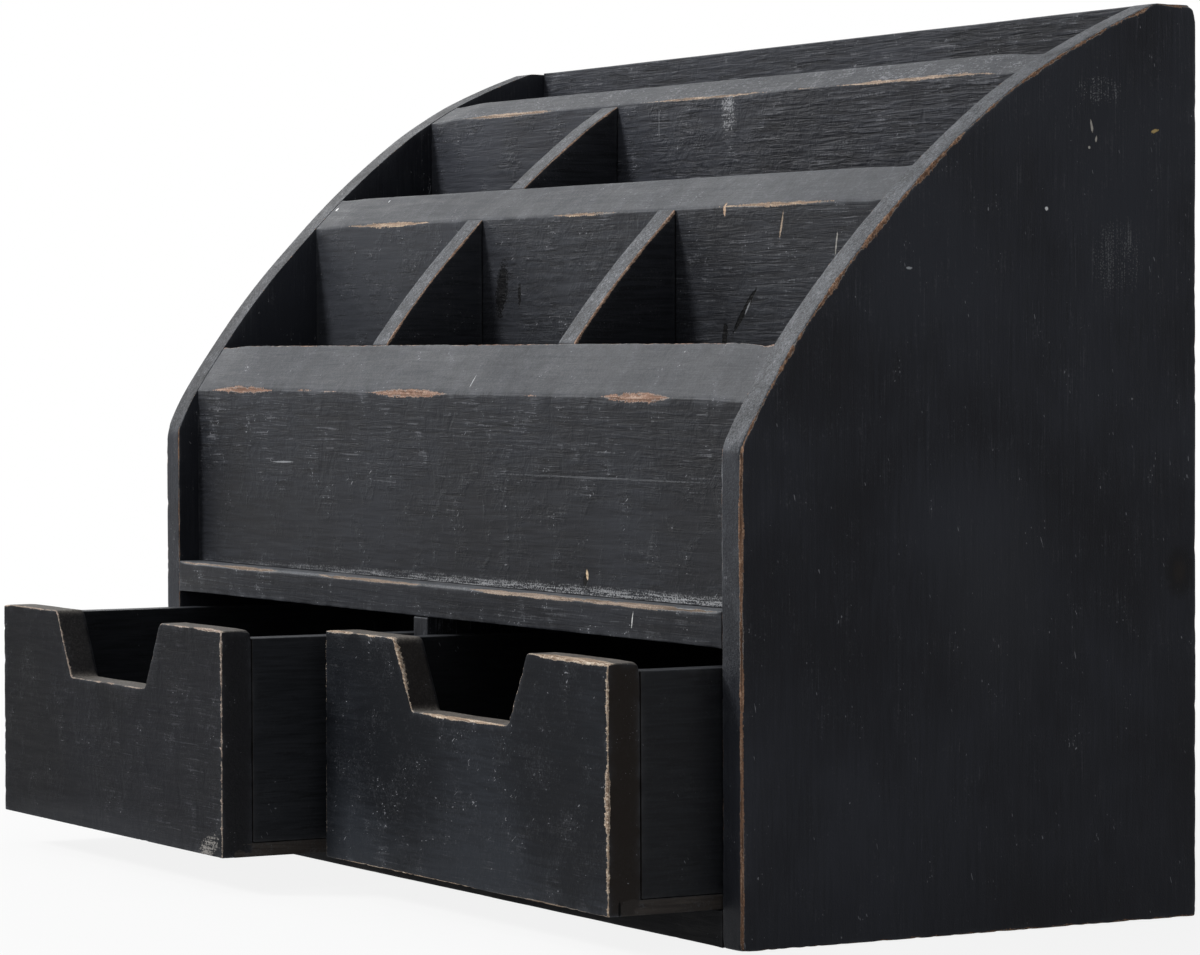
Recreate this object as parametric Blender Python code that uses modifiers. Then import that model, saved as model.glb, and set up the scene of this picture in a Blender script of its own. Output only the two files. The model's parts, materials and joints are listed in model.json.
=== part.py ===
# Envelope sorter with two drawers, in painted wood boards.
# X runs to the right, Y to the back and Z up, in metres.
# The origin is the centre of the cabinet's underside.

import math

import bmesh
import bpy
from mathutils import Matrix, Vector

MM = 0.001

# Cabinet
CABINET_WIDTH = 445 * MM
CABINET_DEPTH = 178 * MM
CABINET_HEIGHT = 305 * MM
BOARD = 12 * MM
GAP = 0.3 * MM
EDGE_EASE = 0.8 * MM

# Outline of the sides: a straight front edge, one long arc and a flat top
SIDE_FRONT_HEIGHT = 157 * MM
SIDE_ARC_RADIUS = 312 * MM
SIDE_TOP_FLAT = 18 * MM
SIDE_FOOT_ROUND = 6 * MM
SIDE_BACK_ROUND = 3 * MM
SIDE_ARC_STEPS = 24
BOARD_ARC_STEPS = 3
DIVIDER_ARC_STEPS = 8
ROUND_STEPS = 4

# Upright boards and compartments above the shelf
FRONT_PANEL_RECESS = 8.5 * MM
UPRIGHT_COUNT = 3
FRONT_ROW_COMPARTMENTS = 3
DIVIDER_BOARD = 12 * MM
MIDDLE_ROW_LEFT_WIDTH = 143.2 * MM

# Drawer bays and drawers
BAY_HEIGHT = 83.5 * MM
BAY_DIVIDER_BOARD = 11 * MM
DRAWER_SIDE_AIR = 1 * MM
DRAWER_TOP_AIR = 3.2 * MM
DRAWER_BACK_AIR = 0.5 * MM
DRAWER_FRONT_BOARD = 12 * MM
DRAWER_WALL_BOARD = 10 * MM
DRAWER_WALL_STEP = 3 * MM
DRAWER_PANEL_BOARD = 5 * MM
DRAWER_REBATE = 7.5 * MM
NOTCH_TOP_WIDTH = 96 * MM
NOTCH_FOOT_WIDTH = 69 * MM
NOTCH_DEPTH = 24.5 * MM
NOTCH_ROUND = 2 * MM
LEFT_PULLED_OUT = 75 * MM
RIGHT_PULLED_OUT = 41 * MM

# Brads: flat wire nails with a small T head, set below the surface
BRAD_WIRE = 1.2 * MM
BRAD_HEAD_WIDTH = 2 * MM
BRAD_HEAD_THICKNESS = 0.5 * MM
BRAD_POINT = 1.5 * MM
BRAD_SET = 1.5 * MM
CABINET_BRAD_LENGTH = 25 * MM
DRAWER_BRAD_LENGTH = 20 * MM
PANEL_PIN_LENGTH = 13 * MM
PANEL_PIN_SET = 0.6 * MM

# Where the brads stand, as shares of the joint they hold
SHELF_BRAD_SHARES = (0.2, 0.8)
UPRIGHT_BRAD_SHARE = 0.5
BACK_PANEL_BRAD_SHARES = (0.24, 0.86)
DRAWER_FRONT_BRAD_SHARES = (0.28, 0.74)
PANEL_PIN_SHARES = (0.2, 0.8)

# Shared small values
OVERRUN = 2 * MM
WELD = 0.01 * MM
FLAT_ANGLE = math.radians(0.1)
BEVEL_ANGLE = math.radians(20)

# Finishes: colour, roughness, metallic
BLACK_PAINT = ((0.022, 0.023, 0.026), 0.55, 0.0)
WORN_BLACK_PAINT = ((0.028, 0.029, 0.032), 0.5, 0.0)
BRAD_STEEL = ((0.42, 0.42, 0.43), 0.4, 1.0)

# Directions and turns
RIGHT = Vector((1, 0, 0))
BACKWARD = Vector((0, 1, 0))
UP = Vector((0, 0, 1))
OUTLINE_TO_SIDE = (math.radians(90), 0, math.radians(90))
OUTLINE_TO_FRONT = (math.radians(90), 0, 0)

# Places that follow from the sizes above, measured from the cabinet's front plane
HALF_WIDTH = CABINET_WIDTH / 2
INNER_HALF = HALF_WIDTH - BOARD
BACK_PANEL_FRONT = CABINET_DEPTH - BOARD
SHELF_FOOT = BOARD + BAY_HEIGHT
SHELF_TOP = SHELF_FOOT + BOARD
UPRIGHT_FOOT = SHELF_TOP + GAP
SLOT_DEPTH = (BACK_PANEL_FRONT - FRONT_PANEL_RECESS - UPRIGHT_COUNT * BOARD) / UPRIGHT_COUNT
UPRIGHT_FRONTS = [FRONT_PANEL_RECESS + row * (BOARD + SLOT_DEPTH) for row in range(UPRIGHT_COUNT)]
ARC_FRONT = Vector((0, SIDE_FRONT_HEIGHT))
ARC_BACK = Vector((CABINET_DEPTH - SIDE_TOP_FLAT, CABINET_HEIGHT))


def arc_centre():
    """Centre of the sides' arc, below and behind the chord between its ends."""
    chord = ARC_BACK - ARC_FRONT
    rise = math.sqrt(SIDE_ARC_RADIUS ** 2 - (chord.length / 2) ** 2)
    return (ARC_FRONT + ARC_BACK) / 2 + Vector((chord.y, -chord.x)).normalized() * rise


ARC_CENTRE = arc_centre()


def arc_points(front, back, steps):
    """Points of the sides' arc between two depths, from front to back."""
    start = math.acos((ARC_CENTRE.x - front) / SIDE_ARC_RADIUS)
    end = math.acos((ARC_CENTRE.x - back) / SIDE_ARC_RADIUS)
    points = []
    for step in range(steps + 1):
        angle = start + (end - start) * step / steps
        ray = Vector((-math.cos(angle), math.sin(angle)))
        points.append(ARC_CENTRE + ray * SIDE_ARC_RADIUS)
    return points


def arc_height(depth):
    """Height of the sides' arc at one depth."""
    return ARC_CENTRE.y + math.sqrt(SIDE_ARC_RADIUS ** 2 - (ARC_CENTRE.x - depth) ** 2)


def rounded_corner(before, corner, after, radius):
    """Arc of the given radius that touches both edges of a corner."""
    to_before = (before - corner).normalized()
    to_after = (after - corner).normalized()
    half = to_before.angle(to_after) / 2
    centre = corner + (to_before + to_after).normalized() * radius / math.sin(half)
    first = corner + to_before * radius / math.tan(half) - centre
    last = corner + to_after * radius / math.tan(half) - centre
    turns = [first.slerp(last, step / ROUND_STEPS) for step in range(ROUND_STEPS + 1)]
    return [centre + turn.normalized() * radius for turn in turns]


def side_outline():
    """Depth and height points round a side panel."""
    back_foot = Vector((CABINET_DEPTH, 0))
    back_top = Vector((CABINET_DEPTH, CABINET_HEIGHT))
    arc = arc_points(ARC_FRONT.x, ARC_BACK.x, SIDE_ARC_STEPS)
    foot_of_arc = rounded_corner(Vector((0, 0)), ARC_FRONT, arc[1], SIDE_FOOT_ROUND)
    back_corner = rounded_corner(back_foot, back_top, ARC_BACK, SIDE_BACK_ROUND)
    return [Vector((0, 0)), back_foot] + back_corner + arc[:0:-1] + foot_of_arc[::-1]


def under_arc_outline(front, back, steps):
    """Depth and height points round an upright board whose top follows the sides' arc."""
    top = arc_points(front, back, steps)
    return [Vector((front, UPRIGHT_FOOT)), Vector((back, UPRIGHT_FOOT))] + top[::-1]


def drawer_front_outline(width, height):
    """Width and height points round a drawer front, with the finger notch in its top edge."""
    half = width / 2
    half_top = NOTCH_TOP_WIDTH / 2
    half_foot = NOTCH_FOOT_WIDTH / 2
    notch_foot = height - NOTCH_DEPTH
    right_top = Vector((half, height))
    left_top = Vector((-half, height))
    right_foot = Vector((half_foot, notch_foot))
    left_foot = Vector((-half_foot, notch_foot))
    right_lip = rounded_corner(right_top, Vector((half_top, height)), right_foot, NOTCH_ROUND)
    left_lip = rounded_corner(left_foot, Vector((-half_top, height)), left_top, NOTCH_ROUND)
    start = [Vector((-half, 0)), Vector((half, 0)), right_top]
    return start + right_lip + [right_foot, left_foot] + left_lip + [left_top]


def brad_outline(length):
    """Width and length points round one brad, its head at zero and its point downwards."""
    head = BRAD_HEAD_WIDTH / 2
    wire = BRAD_WIRE / 2
    neck = -BRAD_HEAD_THICKNESS
    shoulder = BRAD_POINT - length
    left = [(-head, 0), (-head, neck), (-wire, neck), (-wire, shoulder)]
    right = [(wire, shoulder), (wire, neck), (head, neck), (head, 0)]
    return [Vector(point) for point in left + [(0, -length)] + right]


def outline_mesh(name, points, thickness):
    """Closed mesh of a flat outline with the given thickness, centred on its plane."""
    curve = bpy.data.curves.new(name, "CURVE")
    curve.dimensions = "2D"
    curve.fill_mode = "BOTH"
    curve.extrude = thickness / 2
    spline = curve.splines.new("POLY")
    spline.points.add(len(points) - 1)
    for spline_point, point in zip(spline.points, points):
        spline_point.co = (point.x, point.y, 0, 1)
    spline.use_cyclic_u = True
    holder = bpy.data.objects.new(name, curve)
    bpy.context.scene.collection.objects.link(holder)
    evaluated = holder.evaluated_get(bpy.context.evaluated_depsgraph_get())
    mesh = bpy.data.meshes.new_from_object(evaluated)
    mesh.name = name
    bpy.data.objects.remove(holder)
    bpy.data.curves.remove(curve)
    shape = bmesh.new()
    shape.from_mesh(mesh)
    bmesh.ops.remove_doubles(shape, verts=shape.verts, dist=WELD)
    bmesh.ops.dissolve_limit(shape, angle_limit=FLAT_ANGLE, verts=shape.verts, edges=shape.edges)
    bmesh.ops.recalc_face_normals(shape, faces=shape.faces)
    shape.to_mesh(mesh)
    shape.free()
    mesh.materials.clear()
    return mesh


def box_mesh(name, size):
    """Closed box mesh of the given size, centred on its origin."""
    mesh = bpy.data.meshes.new(name)
    shape = bmesh.new()
    bmesh.ops.create_cube(shape, size=1)
    bmesh.ops.scale(shape, vec=size, verts=shape.verts)
    shape.to_mesh(mesh)
    shape.free()
    return mesh


def copies_mesh(name, single, places):
    """One mesh that holds a copy of a single mesh at each place."""
    mesh = bpy.data.meshes.new(name)
    shape = bmesh.new()
    for place in places:
        known = len(shape.verts)
        shape.from_mesh(single)
        shape.verts.ensure_lookup_table()
        bmesh.ops.transform(shape, matrix=place, verts=shape.verts[known:])
    shape.to_mesh(mesh)
    shape.free()
    return mesh


def finish_material(name, finish):
    """Principled material of one sub-part."""
    colour, roughness, metallic = finish
    material = bpy.data.materials.new(name + "_finish")
    material.use_nodes = True
    shader = material.node_tree.nodes["Principled BSDF"]
    shader.inputs["Base Color"].default_value = (*colour, 1)
    shader.inputs["Roughness"].default_value = roughness
    shader.inputs["Metallic"].default_value = metallic
    material.diffuse_color = (*colour, 1)
    return material


def add_part(name, mesh, parent, finish, location=(0, 0, 0), rotation=(0, 0, 0)):
    """Object of one sub-part, placed in its parent's frame."""
    part = bpy.data.objects.new(name, mesh)
    part.location = location
    part.rotation_euler = rotation
    part.parent = parent
    part.data.materials.append(finish_material(name, finish))
    parts_collection.objects.link(part)
    return part


def add_box(name, low, high, parent, finish):
    """Box-shaped board between two corners of its parent's frame."""
    low = Vector(low)
    high = Vector(high)
    return add_part(name, box_mesh(name, high - low), parent, finish, (low + high) / 2)


def add_cutter(name, mesh, parent, location=(0, 0, 0)):
    """Object that only cuts others, in a collection of its own."""
    cutter = bpy.data.objects.new(name, mesh)
    cutter.location = location
    cutter.parent = parent
    cutter.hide_render = True
    cutter.display_type = "WIRE"
    cutters_collection.objects.link(cutter)
    return cutter


def cut(part, cutter):
    """Takes the cutter's shape out of a part."""
    modifier = part.modifiers.new(cutter.name, "BOOLEAN")
    modifier.operation = "DIFFERENCE"
    modifier.solver = "EXACT"
    modifier.object = cutter


def ease_edges(part):
    """Takes the sharp corners off a part, as sandpaper does."""
    modifier = part.modifiers.new("eased_edges", "BEVEL")
    modifier.width = EDGE_EASE
    modifier.segments = 1
    modifier.limit_method = "ANGLE"
    modifier.angle_limit = BEVEL_ANGLE


def add_empty(name, parent, location):
    """Frame that a group of parts is placed in."""
    empty = bpy.data.objects.new(name, None)
    empty.location = location
    empty.parent = parent
    parts_collection.objects.link(empty)
    return empty


def brad_place(head, drive, across):
    """Matrix that puts a brad's head at a point, driven one way, its width across."""
    along = -drive
    normal = across.cross(along)
    turn = Matrix((across, along, normal)).transposed().to_4x4()
    return Matrix.Translation(head) @ turn


def spread(low, high, shares):
    """Values between low and high at the given shares of the way."""
    return [low + (high - low) * share for share in shares]


def add_brads(name, places, length, parent):
    """Brads of one kind, and the slots that they leave in the boards, as one cutter."""
    single = outline_mesh(name, brad_outline(length), BRAD_WIRE)
    single.materials.append(finish_material(name, BRAD_STEEL))
    for number, place in enumerate(places, 1):
        brad = bpy.data.objects.new(f"{name}_{number}", single)
        brad.parent = parent
        brad.matrix_local = place
        parts_collection.objects.link(brad)
    slot_size = (BRAD_HEAD_WIDTH + 2 * GAP, length + 2 * GAP, BRAD_WIRE + 2 * GAP)
    slot = box_mesh(name + "_slot", slot_size)
    to_middle = Matrix.Translation((0, -length / 2, 0))
    slots = copies_mesh(name + "_slots", slot, [place @ to_middle for place in places])
    return add_cutter(name + "_slots", slots, parent)


def side_brad_places(side):
    """Brads through one side panel into every board that ends on it."""
    shelf_depths = spread(0, BACK_PANEL_FRONT, SHELF_BRAD_SHARES)
    spots = [(depth, BOARD / 2) for depth in shelf_depths]
    spots += [(depth, SHELF_FOOT + BOARD / 2) for depth in shelf_depths]
    for front in UPRIGHT_FRONTS:
        height = UPRIGHT_FOOT + (arc_height(front) - UPRIGHT_FOOT) * UPRIGHT_BRAD_SHARE
        spots.append((front + BOARD / 2, height))
    back_heights = spread(0, CABINET_HEIGHT, BACK_PANEL_BRAD_SHARES)
    spots += [(BACK_PANEL_FRONT + BOARD / 2, height) for height in back_heights]
    head_x = side * (HALF_WIDTH - BRAD_SET)
    drive = -side * RIGHT
    return [brad_place(Vector((head_x, depth, height)), drive, UP) for depth, height in spots]


def make_side_panels(cabinet):
    """Left and right side panels."""
    panels = []
    for name, side in (("left_side_panel", -1), ("right_side_panel", 1)):
        mesh = outline_mesh(name, side_outline(), BOARD)
        middle = (side * (HALF_WIDTH - BOARD / 2), 0, 0)
        panel = add_part(name, mesh, cabinet, BLACK_PAINT, middle, OUTLINE_TO_SIDE)
        ease_edges(panel)
        panels.append(panel)
    return panels


def make_flat_boards(cabinet):
    """Bottom board, shelf, board between the drawers, and back panel."""
    across = INNER_HALF - GAP
    rear = BACK_PANEL_FRONT - GAP
    half_bay_divider = BAY_DIVIDER_BOARD / 2
    bottom = add_box("bottom_board", (-across, 0, 0), (across, rear, BOARD), cabinet, BLACK_PAINT)
    shelf_low = (-across, 0, SHELF_FOOT)
    shelf = add_box("shelf_board", shelf_low, (across, rear, SHELF_TOP), cabinet, WORN_BLACK_PAINT)
    bay_low = (-half_bay_divider, 0, BOARD + GAP)
    bay_high = (half_bay_divider, rear, SHELF_FOOT - GAP)
    add_box("drawer_divider", bay_low, bay_high, cabinet, BLACK_PAINT)
    back_low = (-across, BACK_PANEL_FRONT, 0)
    back_high = (across, CABINET_DEPTH, CABINET_HEIGHT)
    back = add_box("back_panel", back_low, back_high, cabinet, BLACK_PAINT)
    return [bottom, shelf, back]


def make_uprights(cabinet):
    """Full-width upright boards, their top edges bevelled to the sides' arc."""
    uprights = []
    names = ("front_panel", "middle_partition", "rear_partition")
    width = 2 * (INNER_HALF - GAP)
    for name, front in zip(names, UPRIGHT_FRONTS):
        outline = under_arc_outline(front, front + BOARD, BOARD_ARC_STEPS)
        mesh = outline_mesh(name, outline, width)
        upright = add_part(name, mesh, cabinet, WORN_BLACK_PAINT, rotation=OUTLINE_TO_SIDE)
        uprights.append(upright)
    return uprights


def divider_centres():
    """Names, centres and rows of the small dividers between the upright boards."""
    front_row_step = (2 * INNER_HALF + DIVIDER_BOARD) / FRONT_ROW_COMPARTMENTS
    front_row_centre = front_row_step / 2
    middle_row_centre = -INNER_HALF + MIDDLE_ROW_LEFT_WIDTH + DIVIDER_BOARD / 2
    left = ("front_row_divider_left", -front_row_centre, 0)
    right = ("front_row_divider_right", front_row_centre, 0)
    return [left, right, ("middle_row_divider", middle_row_centre, 1)]


def make_row_dividers(cabinet):
    """Small dividers that part the front and the middle row."""
    for name, centre, row in divider_centres():
        front = UPRIGHT_FRONTS[row] + BOARD + GAP
        back = UPRIGHT_FRONTS[row + 1] - GAP
        outline = under_arc_outline(front, back, DIVIDER_ARC_STEPS)
        mesh = outline_mesh(name, outline, DIVIDER_BOARD)
        at_centre = (centre, 0, 0)
        add_part(name, mesh, cabinet, WORN_BLACK_PAINT, at_centre, OUTLINE_TO_SIDE)


def make_cabinet(cabinet):
    """All the fixed boards and the brads through the side panels."""
    left_side, right_side = make_side_panels(cabinet)
    boards = make_flat_boards(cabinet) + make_uprights(cabinet)
    make_row_dividers(cabinet)
    for name, side, panel in (("left", -1, left_side), ("right", 1, right_side)):
        places = side_brad_places(side)
        slots = add_brads(name + "_side_brad", places, CABINET_BRAD_LENGTH, cabinet)
        for board in [panel] + boards:
            cut(board, slots)


def drawer_front_brad_places(wall_middle, wall_foot, wall_top):
    """Brads through a drawer's front into the ends of its side walls."""
    places = []
    for x in (-wall_middle, wall_middle):
        for z in spread(wall_foot, wall_top, DRAWER_FRONT_BRAD_SHARES):
            places.append(brad_place(Vector((x, BRAD_SET, z)), BACKWARD, UP))
    return places


def panel_pin_places(wall_middle, length):
    """Pins up through a drawer's bottom panel into its side walls."""
    places = []
    for x in (-wall_middle, wall_middle):
        for depth in spread(DRAWER_FRONT_BOARD, length, PANEL_PIN_SHARES):
            places.append(brad_place(Vector((x, depth, PANEL_PIN_SET)), UP, RIGHT))
    return places


def make_drawer_front(name, frame, width, height):
    """Drawer front with its finger notch, and the rebate that takes the bottom panel."""
    outline = drawer_front_outline(width, height)
    mesh = outline_mesh(name + "_front", outline, DRAWER_FRONT_BOARD)
    middle = (0, DRAWER_FRONT_BOARD / 2, 0)
    front = add_part(name + "_front", mesh, frame, WORN_BLACK_PAINT, middle, OUTLINE_TO_FRONT)
    ease_edges(front)
    rebate_top = DRAWER_PANEL_BOARD + GAP
    size = Vector((width + 2 * OVERRUN, DRAWER_REBATE + OVERRUN, rebate_top + OVERRUN))
    depth = DRAWER_FRONT_BOARD - DRAWER_REBATE + size.y / 2
    place = (0, depth, rebate_top - size.z / 2)
    cut(front, add_cutter(name + "_rebate", box_mesh(name + "_rebate", size), frame, place))
    return front


def make_drawer(name, cabinet, side, pulled_out):
    """One drawer, in a frame at the foot of its front's outer face."""
    bay_inner = BAY_DIVIDER_BOARD / 2
    width = INNER_HALF - bay_inner - 2 * DRAWER_SIDE_AIR
    height = BAY_HEIGHT - GAP - DRAWER_TOP_AIR
    length = BACK_PANEL_FRONT - DRAWER_BACK_AIR
    half = width / 2
    centre = side * (bay_inner + INNER_HALF) / 2
    frame = add_empty(name + "_slide", cabinet, (centre, -pulled_out, BOARD + GAP))

    wall_foot = DRAWER_PANEL_BOARD + GAP
    wall_top = height - DRAWER_WALL_STEP
    wall_front = DRAWER_FRONT_BOARD + GAP
    inner = half - DRAWER_WALL_BOARD
    back_front = length - DRAWER_WALL_BOARD
    panel_front = DRAWER_FRONT_BOARD - DRAWER_REBATE + GAP

    front = make_drawer_front(name, frame, width, height)

    walls = []
    for label, low_x, high_x in (("left", -half, -inner), ("right", inner, half)):
        low = (low_x, wall_front, wall_foot)
        high = (high_x, length, wall_top)
        walls.append(add_box(f"{name}_{label}_wall", low, high, frame, BLACK_PAINT))
    back_low = (-inner + GAP, back_front, wall_foot)
    add_box(name + "_back", back_low, (inner - GAP, length, wall_top), frame, BLACK_PAINT)
    panel_low = (-half, panel_front, 0)
    panel_high = (half, length, DRAWER_PANEL_BOARD)
    panel = add_box(name + "_bottom_panel", panel_low, panel_high, frame, BLACK_PAINT)

    wall_middle = half - DRAWER_WALL_BOARD / 2
    brad_places = drawer_front_brad_places(wall_middle, wall_foot, wall_top)
    brad_slots = add_brads(name + "_front_brad", brad_places, DRAWER_BRAD_LENGTH, frame)
    for board in [front] + walls:
        cut(board, brad_slots)
    pin_places = panel_pin_places(wall_middle, length)
    pin_slots = add_brads(name + "_panel_pin", pin_places, PANEL_PIN_LENGTH, frame)
    for board in [panel] + walls:
        cut(board, pin_slots)


def clear_scene():
    """Removes the scene's objects."""
    for scene_object in list(bpy.context.scene.objects):
        bpy.data.objects.remove(scene_object)


def new_collection(name):
    """Collection linked to the scene."""
    collection = bpy.data.collections.new(name)
    bpy.context.scene.collection.children.link(collection)
    return collection


clear_scene()
parts_collection = new_collection("envelope_sorter")
cutters_collection = new_collection("cutters")
cabinet_frame = add_empty("cabinet", None, (0, -CABINET_DEPTH / 2, 0))
make_cabinet(cabinet_frame)
make_drawer("left_drawer", cabinet_frame, -1, LEFT_PULLED_OUT)
make_drawer("right_drawer", cabinet_frame, 1, RIGHT_PULLED_OUT)
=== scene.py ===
import json
import math

import bpy
import numpy as np
from mathutils import Matrix, Vector

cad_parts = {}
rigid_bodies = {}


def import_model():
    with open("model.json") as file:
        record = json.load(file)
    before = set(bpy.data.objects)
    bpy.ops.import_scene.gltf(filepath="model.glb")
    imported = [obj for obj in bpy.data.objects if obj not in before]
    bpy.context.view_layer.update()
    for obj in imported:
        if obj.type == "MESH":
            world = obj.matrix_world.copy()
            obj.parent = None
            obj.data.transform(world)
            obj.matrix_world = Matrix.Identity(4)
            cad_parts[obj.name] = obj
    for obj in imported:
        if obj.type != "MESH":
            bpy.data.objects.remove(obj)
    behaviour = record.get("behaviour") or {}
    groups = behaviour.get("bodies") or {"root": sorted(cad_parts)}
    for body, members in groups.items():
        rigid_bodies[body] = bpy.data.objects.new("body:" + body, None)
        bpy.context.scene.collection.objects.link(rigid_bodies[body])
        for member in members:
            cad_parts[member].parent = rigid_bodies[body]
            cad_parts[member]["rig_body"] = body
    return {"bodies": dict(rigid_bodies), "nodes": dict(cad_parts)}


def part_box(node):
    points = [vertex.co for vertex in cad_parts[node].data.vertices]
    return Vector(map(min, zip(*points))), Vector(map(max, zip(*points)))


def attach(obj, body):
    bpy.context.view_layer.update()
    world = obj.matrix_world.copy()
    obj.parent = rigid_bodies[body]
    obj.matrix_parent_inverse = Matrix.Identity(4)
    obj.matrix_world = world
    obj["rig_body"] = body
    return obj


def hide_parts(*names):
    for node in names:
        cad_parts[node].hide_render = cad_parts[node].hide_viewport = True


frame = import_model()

scene = bpy.context.scene
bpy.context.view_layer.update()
nodes = frame["nodes"]
print("frame loaded:", len(nodes), "nodes")


# lengths below are millimetres: x to the right, y to the back, z up from under the cabinet's middle;
# makeMesh turns them into metres
curve = {
    "centre": (278.5, 16.39),  # depth behind the front plane, height
    "radius": 312.0,
    "flat": 305.0,
    "frontPlane": -89.0,
    "halfWidth": 222.5,
    "depths": (0, 5, 10, 20, 30, 55, 85, 105, 125, 145, 160),
    "leftSwell": (1.0, 1.6, 1.2, 0.5, 0.3, -0.3, 1.0, 2.1, 2.1, 0.9, 0.0),
    "rightSwell": (1.0, 0.9, 0.5, 0.6, 0.0, -0.8, -0.3, 0.3, -0.1, -0.5, -0.5),
    "read": (-20.0, 181.0),  # the swell is read every millimetre between these depths
    "average": 15,  # and averaged over this many readings
}

grid = {
    "lips": (0.0, 0.22, 0.5, 0.85, 1.3, 1.9, 2.6, 3.5),  # rows beside every edge
    "thin": 2.4,  # on a board thinner than this many times their reach they stand closer
    "samples": 4000,  # places at which a profile's own length is measured
    "slopeStep": 0.2,
    "steepest": 2.2,  # slopes past this one count as this one
}
lips = np.array(grid["lips"])
nearReach = lips[-1]


def cloudNoise(points, seed):
    # random values at whole-number corners, blended between them with a smooth step: 0 to 1
    table = np.random.default_rng(seed).random(65536)
    cell = np.floor(points).astype(np.int64)
    part = points - cell
    part = part * part * (3 - 2 * part)
    total = np.zeros(len(points))
    for corner in np.ndindex(2, 2, 2):
        step = np.array(corner)
        at = cell + step
        key = (at[:, 0] * 73856093) ^ (at[:, 1] * 19349663) ^ (at[:, 2] * 83492791)
        weight = np.prod(np.where(step, part, 1 - part), axis=1)
        total += weight * table[key & 65535]
    return total


def edgeNoise(along, length, seed):
    # the same noise read along one line, one random value each length
    line = np.stack([along / length, np.zeros_like(along), np.zeros_like(along)], axis=1)
    return cloudNoise(line, seed)


def smoothTable(places, values):
    # straight lines between the values, read every millimetre; each reading then becomes the weighted
    # mean of those round it, with weights that rise and fall as a cosine
    at = np.arange(*curve["read"])
    window = np.hanning(curve["average"] + 2)[1:-1]
    padded = np.pad(np.interp(at, places, values), curve["average"] // 2, mode="edge")
    return at, np.convolve(padded, window / window.sum(), mode="valid")


leftTable = smoothTable(curve["depths"], curve["leftSwell"])
rightTable = smoothTable(curve["depths"], curve["rightSwell"])


def curveTop(x, y):
    # height of the shared curve: a circle over the depth, swollen a little where the saw wandered
    depth = y - curve["frontPlane"]
    share = np.clip(x / (2 * curve["halfWidth"]) + 0.5, 0, 1)
    left = np.interp(depth, *leftTable)
    right = np.interp(depth, *rightTable)
    reach = curve["radius"] + (1 - share) * left + share * right
    across = curve["centre"][0] - depth
    rise = curve["centre"][1] + np.sqrt(np.maximum(reach ** 2 - across ** 2, 0))
    return np.minimum(rise, curve["flat"])


def stations(length, step, profile=None):
    # places along one edge: close beside both ends, then even along the profile's own length
    tight = lips * min(1.0, length / (grid["thin"] * nearReach))
    fine = np.linspace(tight[-1], length - tight[-1], grid["samples"])
    rise = np.zeros_like(fine) if profile is None else profile(fine)
    path = np.concatenate([[0], np.cumsum(np.hypot(np.diff(fine), np.diff(rise)))])
    count = max(2, int(round(path[-1] / step)) + 1)
    inner = np.interp(np.linspace(0, path[-1], count), path, fine)
    return np.concatenate([tight[:-1], inner, length - tight[-2::-1]])


def boxSkin(axes):
    # the outside of a block of grid points, each point once, with four-sided faces that point outwards
    shape = tuple(len(a) for a in axes)
    i, j, k = np.indices(shape)
    skin = (i == 0) | (i == shape[0] - 1) | (j == 0) | (j == shape[1] - 1)
    skin |= (k == 0) | (k == shape[2] - 1)
    number = np.full(shape, -1, np.int64)
    number[skin] = np.arange(skin.sum())
    points = np.stack([axes[0][i[skin]], axes[1][j[skin]], axes[2][k[skin]]], axis=1)

    def wall(sheet, flip):
        quads = np.stack([sheet[:-1, :-1], sheet[1:, :-1], sheet[1:, 1:], sheet[:-1, 1:]], axis=-1)
        quads = quads.reshape(-1, 4)
        return quads[:, ::-1] if flip else quads

    quads = np.concatenate([
        wall(number[0], True), wall(number[-1], False),
        wall(number[:, 0], False), wall(number[:, -1], True),
        wall(number[:, :, 0], True), wall(number[:, :, -1], False),
    ])
    return points, quads


def leanOf(topLine, x, y):
    # the length of the top line's slope vector with its run of 1: 1 where it is level
    if topLine is None:
        return np.ones_like(x)
    step = grid["slopeStep"]
    slope = np.hypot(topLine(x + step, y) - topLine(x - step, y),
                     topLine(x, y + step) - topLine(x, y - step)) / (2 * step)
    return np.sqrt(1 + np.minimum(slope, grid["steepest"]) ** 2)


def layUnder(topLine, points, foot, head):
    # the flat top is laid on the top line: rows near it keep their distance square to the line,
    # and the rest share what is left down to the foot
    if topLine is None:
        return points
    x, y, z = points.T
    top = topLine(x, y)
    lean = leanOf(topLine, x, y)
    down = head - z
    near = np.minimum(down, nearReach) * lean
    share = (top - foot - nearReach * lean) / (head - foot - nearReach)
    laid = top - near - np.maximum(down - nearReach, 0) * share
    return np.stack([x, y, laid], axis=1)


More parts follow.
